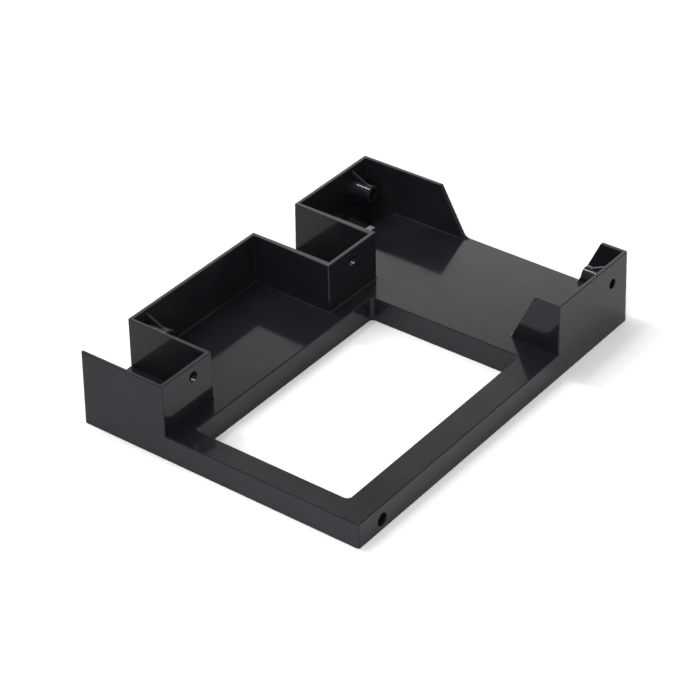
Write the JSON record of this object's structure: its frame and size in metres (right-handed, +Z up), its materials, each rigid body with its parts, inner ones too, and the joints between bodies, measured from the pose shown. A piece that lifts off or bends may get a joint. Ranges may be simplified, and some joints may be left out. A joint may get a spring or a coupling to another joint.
{
  "type": "drive bay adapter bracket",
  "caption": "Black moulded tray bracket that holds a small drive in a larger drive bay, with a window frame, notched side walls and screw bosses.",
  "frame": {"origin": "middle of the foot, on the plane the bracket stands on", "axes": "+X across the bay towards the open drive side, +Y from the connector end to the rear, +Z up"},
  "size_m": [0.1016, 0.1392, 0.0254],
  "materials": {
    "black_plastic": "glossy black moulded plastic with very light mould texture"
  },
  "bodies": {
    "root": {"bracket_body": "black_plastic"}
  },
  "joints": []
}
